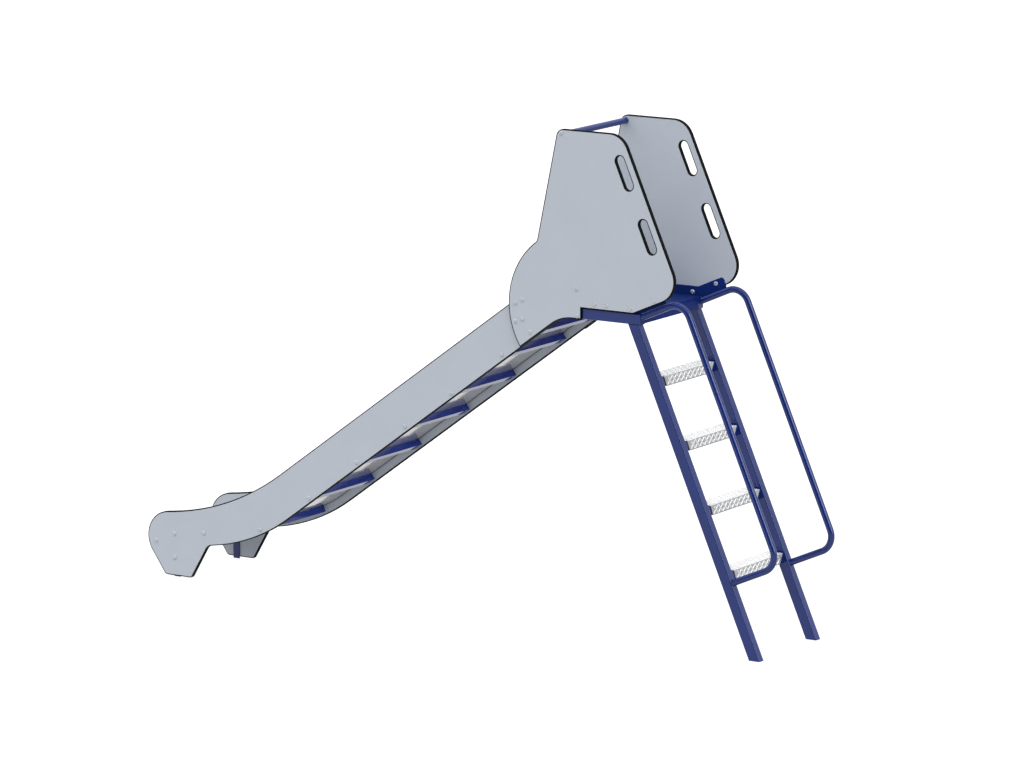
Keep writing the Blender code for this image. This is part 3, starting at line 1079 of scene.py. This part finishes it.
@dataclass
class TopRail:
    """The round tube between the guards' upper rear corners."""

    points: int = 32

    def build(self, finishes: Finishes) -> None:
        """Draws the tube between the guards.

        Args:
            finishes: the slide's finishes.
        """
        low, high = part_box("top_rail")
        radius = (high[2] - low[2]) / 2
        centre = ((low[0] + high[0]) / 2, low[1], (low[2] + high[2]) / 2)
        bpy.ops.mesh.primitive_circle_add(vertices=self.points, radius=radius, fill_type="NOTHING",
                                          location=centre, rotation=(math.pi / 2, 0, 0))
        tube = in_place(bpy.context.object, "top_rail_tube")
        with editing(tube):
            bpy.ops.mesh.select_all(action="SELECT")
            bpy.ops.mesh.extrude_region_move(TRANSFORM_OT_translate={"value": (0, high[1] - low[1], 0)})
            bpy.ops.mesh.select_all(action="SELECT")
            bpy.ops.mesh.normals_make_consistent(inside=False)
        shade(tube)
        settle(tube, Slot.COATING, ("top_rail",), finishes.coating)


# Fixings


@dataclass
class Fixings:
    """The low domed bolts on the boards' outer faces, at (x, z) places, and the nuts behind them."""

    head_radius: float = 0.0104
    head_height: float = 0.0056
    head_points: int = 20
    crown: float = 0.005
    crown_steps: int = 4
    socket_radius: float = 0.003
    socket_depth: float = 0.0016
    bright: tuple[int, ...] = (3, 4, 5, 6)
    chute_face: float = 0.2602
    guard_face: float = 0.2795
    chute: Pairs = (
        (-1.0612, 0.284), (-0.7822, 0.464), (-0.5172, 0.66), (-0.2522, 0.855), (0.0008, 1.034),
        (0.2728, 1.238), (-1.6552, 0.165), (-1.5492, 0.208), (-1.3802, 0.23), (-1.5492, 0.095))
    guard: Pairs = (
        (0.5978, 2.268), (0.6778, 1.577), (0.7718, 1.519), (0.8348, 1.518), (0.9568, 1.514),
        (1.0778, 1.561), (0.3568, 1.484), (0.3938, 1.503), (0.3568, 1.402), (0.3938, 1.415),
        (0.4358, 1.36), (0.6828, 1.456))

    def model(self) -> Piece:
        """Turns one bolt head, its seat at the origin and its crown towards +Y.

        Returns:
            The head.
        """
        bpy.ops.mesh.primitive_cylinder_add(vertices=self.head_points, radius=self.head_radius,
                                            depth=self.head_height,
                                            location=(0, self.head_height / 2, 0),
                                            rotation=(math.pi / 2, 0, 0))
        head = in_place(bpy.context.object, "bolt_pattern")
        top = self.head_height - MERGE
        with editing(head):
            pick_edges(head, lambda edge: all(v.co.y > top for v in edge.verts))
            bpy.ops.mesh.bevel(offset=self.crown, segments=self.crown_steps, affect="EDGES")
            pick_faces(head, lambda face: all(v.co.y > top for v in face.verts))
            bpy.ops.mesh.inset(thickness=self.head_radius - self.crown - self.socket_radius)
            bpy.ops.mesh.extrude_region_move(
                TRANSFORM_OT_translate={"value": (0, -self.socket_depth, 0)})
        shade(head)
        return head

    def build(self, finishes: Finishes) -> None:
        """Copies the bolt to every place on both sides, pale capped or bright.

        Args:
            finishes: the slide's finishes.
        """
        head = self.model()
        for side in Side:
            turn = Matrix.Rotation(math.pi if side is Side.LEFT else 0.0, 4, "Z")
            for word, face, places in (("chute", self.chute_face, self.chute),
                                       ("guard", self.guard_face, self.guard)):
                for number, (x, z) in enumerate(places, 1):
                    place = Matrix.Translation((x, side.value * face, z)) @ turn
                    bolt = place_copy(head, f"bolt_{word}_{side.word}_{number}", place)
                    capped = word == "chute" or number not in self.bright
                    settle(bolt, Slot.ZINC, (), finishes.cap if capped else finishes.fixing)
            self.add_nuts(head, side, finishes)
        bpy.data.objects.remove(head)

    def inner_face(self, node: str, x: float, z: float, side: Side) -> float | None:
        """Finds where a line from the middle plane outwards first meets a node.

        Args:
            node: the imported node's name.
            x: the line's place along the slide.
            z: the line's height.
            side: the side that the line runs towards.

        Returns:
            The distance from the middle plane, or None where the line misses the node.
        """
        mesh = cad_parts[node].data
        tree = BVHTree.FromPolygons([v.co for v in mesh.vertices], [p.vertices for p in mesh.polygons])
        spot = tree.ray_cast(Vector((x, 0.0, z)), Vector((0, side.value, 0)))[0]
        return None if spot is None else abs(spot.y)

    def add_nuts(self, head: Piece, side: Side, finishes: Finishes) -> None:
        """Closes the bolts on the inside, on whichever face comes first there.

        Args:
            head: the bolt head to copy.
            side: the slide's side.
            finishes: the slide's finishes.
        """
        turn = Matrix.Rotation(0.0 if side is Side.LEFT else math.pi, 4, "Z")
        backed = {"chute": ("exit_post", "platform_deck"),
                  "guard": ("chute_side", "platform_deck", "guard_panel")}
        for word, places in (("chute", self.chute), ("guard", self.guard)):
            for number, (x, z) in enumerate(places, 1):
                reach = []
                for node in backed[word]:
                    name = node if node == "platform_deck" else f"{node}_{side.word}"
                    spot = self.inner_face(name, x, z, side)
                    if spot is not None:
                        reach.append(spot)
                if reach and not (word == "guard" and number == 1):
                    place = Matrix.Translation((x, side.value * min(reach), z)) @ turn
                    nut = place_copy(head, f"nut_{word}_{side.word}_{number}", place)
                    settle(nut, Slot.ZINC, (), finishes.fixing)


# The studio


@dataclass(frozen=True)
class Studio:
    """The pale floor, the soft dome of light and the camera.

    The floor's colour and glow go by the kind of ray that meets it. A dome is a list of heights above the
    horizon with their brightness. An edge is the two cosines between which a zone fades, and dark_top the
    heights between which the dark one ends.
    """

    floor_size: float = 400.0
    floor_drop: float = 0.0004
    floor_speck: float = 0.985
    floor_seen: float = 0.22
    floor_mirrored: float = 0.12
    floor_bounce: float = 0.1
    floor_lift: float = 0.92
    floor_glow: float = 0.5
    floor_shine: float = 0.74
    camera_place: Point = (14.524, -22.260, 6.028)
    camera_azimuth: float = math.radians(32.834)
    camera_elevation: float = math.radians(10.638)
    lens_mm: float = 209.24
    sensor_mm: float = 36.0
    clip: Pair = (0.5, 500.0)
    dome: Pairs = ((0.0, 0.3), (0.2, 0.6), (0.4, 1.75), (0.8, 2.05), (1.0, 1.4))
    gloss_dome: Pairs = ((0.0, 1.1), (0.15, 1.1), (0.3, 0.8), (0.7, 1.2), (1.0, 1.0))
    dark_way: Point = (0.15, -0.97, 0.15)
    dark_edge: Pair = (0.47, 0.6)
    dark_top: Pair = (0.42, 0.6)
    box_way: Point = (0.87, -0.12, 0.43)
    box_edge: Pair = (0.93, 0.96)
    box_light: float = 4.0

    def build(self) -> None:
        """Builds floor, light and camera."""
        self.lay_floor()
        self.light()
        self.aim()

    def lay_floor(self) -> None:
        """Lays a floor that looks white and throws an even light back up."""
        bpy.ops.mesh.primitive_grid_add(x_subdivisions=8, y_subdivisions=8, size=self.floor_size,
                                        location=(0, 0, -self.floor_drop))
        floor = in_place(bpy.context.object, "floor")
        material = bpy.data.materials.new("pale floor")
        material.use_nodes = True
        wires = Wiring(material.node_tree)
        shader = material.node_tree.nodes["Principled BSDF"]
        place = wires.add("TexCoord").outputs["Object"]
        speck = wires.add("TexNoise", {"Vector": place, "Scale": 3.0, "Detail": 3.0})
        ray = wires.add("LightPath").outputs
        tone = wires.sum("MULTIPLY", ray["Is Camera Ray"], self.floor_seen)
        tone = wires.sum("MULTIPLY_ADD", ray["Is Glossy Ray"], self.floor_mirrored, tone)
        tone = wires.sum("MULTIPLY_ADD", ray["Is Diffuse Ray"], self.floor_bounce, tone)
        tone = wires.sum("MULTIPLY", tone, wires.ramp(speck.outputs[0], 0.0, 1.0, self.floor_speck, 1.0))
        wires.feed(shader, "Base Color", tone)
        shader.inputs["Emission Color"].default_value = (1.0, 1.0, 1.0, 1.0)
        glow = wires.sum("MULTIPLY", ray["Is Diffuse Ray"], self.floor_glow)
        glow = wires.sum("MULTIPLY_ADD", ray["Is Glossy Ray"], self.floor_shine, glow)
        wires.feed(shader, "Emission Strength", wires.sum(
            "MULTIPLY_ADD", ray["Is Camera Ray"], self.floor_lift, glow))
        shader.inputs["Roughness"].default_value = 1.0
        shader.inputs["Specular IOR Level"].default_value = 0.0
        floor.data.materials.append(material)

    def light(self) -> None:
        """Makes the soft domes: one for the shades, and one for the gloss with a dark zone and a lit box."""
        world = bpy.data.worlds.new("studio")
        bpy.context.scene.world = world
        world.use_nodes = True
        wires = Wiring(world.node_tree)
        background = world.node_tree.nodes["Background"]
        way = wires.add("TexCoord").outputs["Generated"]
        up = wires.add("SeparateXYZ", {0: way}).outputs[2]
        ray = wires.add("LightPath").outputs
        dark = wires.ramp(self.facing(wires, way, self.dark_way), *self.dark_edge, 1.0, 0.0)
        dark = wires.sum("MAXIMUM", dark, wires.ramp(up, *self.dark_top))
        box = wires.ramp(self.facing(wires, way, self.box_way), *self.box_edge, 0.0, self.box_light)
        gloss = wires.sum("MULTIPLY_ADD", self.curve(wires, up, self.gloss_dome), dark, box)
        soft = self.curve(wires, up, self.dome)
        lit = wires.add("Mix", {0: ray["Is Glossy Ray"], 2: soft, 3: gloss}, data_type="FLOAT")
        seen = wires.add("Mix", {0: ray["Is Camera Ray"], 2: lit.outputs[0], 3: 1.0}, data_type="FLOAT")
        wires.feed(background, "Strength", seen.outputs[0])
        background.inputs["Color"].default_value = (1.0, 1.0, 1.0, 1.0)

    def facing(self, wires: Wiring, way: Socket, target: Point) -> Socket:
        """Gives the cosine between a direction and a target direction."""
        return wires.add("VectorMath", {0: way, 1: Vector(target).normalized()},
                         operation="DOT_PRODUCT").outputs["Value"]

    def curve(self, wires: Wiring, value: Socket, points: Pairs) -> Socket:
        """Turns a height above the horizon into a brightness.

        Args:
            wires: the world's wiring.
            value: the height.
            points: heights and their brightnesses, with straight lines between them.

        Returns:
            The brightness.
        """
        total = None
        for (low, start), (high, end) in zip(points, points[1:]):
            part = wires.ramp(value, low, high, 0.0, end - start)
            total = wires.sum("ADD", part, start if total is None else total)
        return total

    def aim(self) -> None:
        """Sets up the camera at the photograph's viewing angle."""
        camera = bpy.data.cameras.new("camera")
        camera.lens, camera.sensor_width = self.lens_mm, self.sensor_mm
        camera.clip_start, camera.clip_end = self.clip
        holder = bpy.data.objects.new("camera", camera)
        bpy.context.scene.collection.objects.link(holder)
        holder.location = self.camera_place
        holder.rotation_euler = (math.pi / 2 - self.camera_elevation, 0.0, self.camera_azimuth)
        bpy.context.scene.camera = holder
        bpy.context.scene.view_settings.view_transform = "Standard"


def main() -> None:
    """Builds the slide's pieces in order, then the studio."""
    logging.basicConfig(level=logging.INFO, format="%(message)s")
    finishes = Finishes()
    for work in (Boards(), Chute(), Platform(), Ladder(), TopRail(), Fixings()):
        LOG.info("building %s", type(work).__name__)
        work.build(finishes)
    Studio().build()
    clear_selection()


if __name__ == "__main__":
    main()
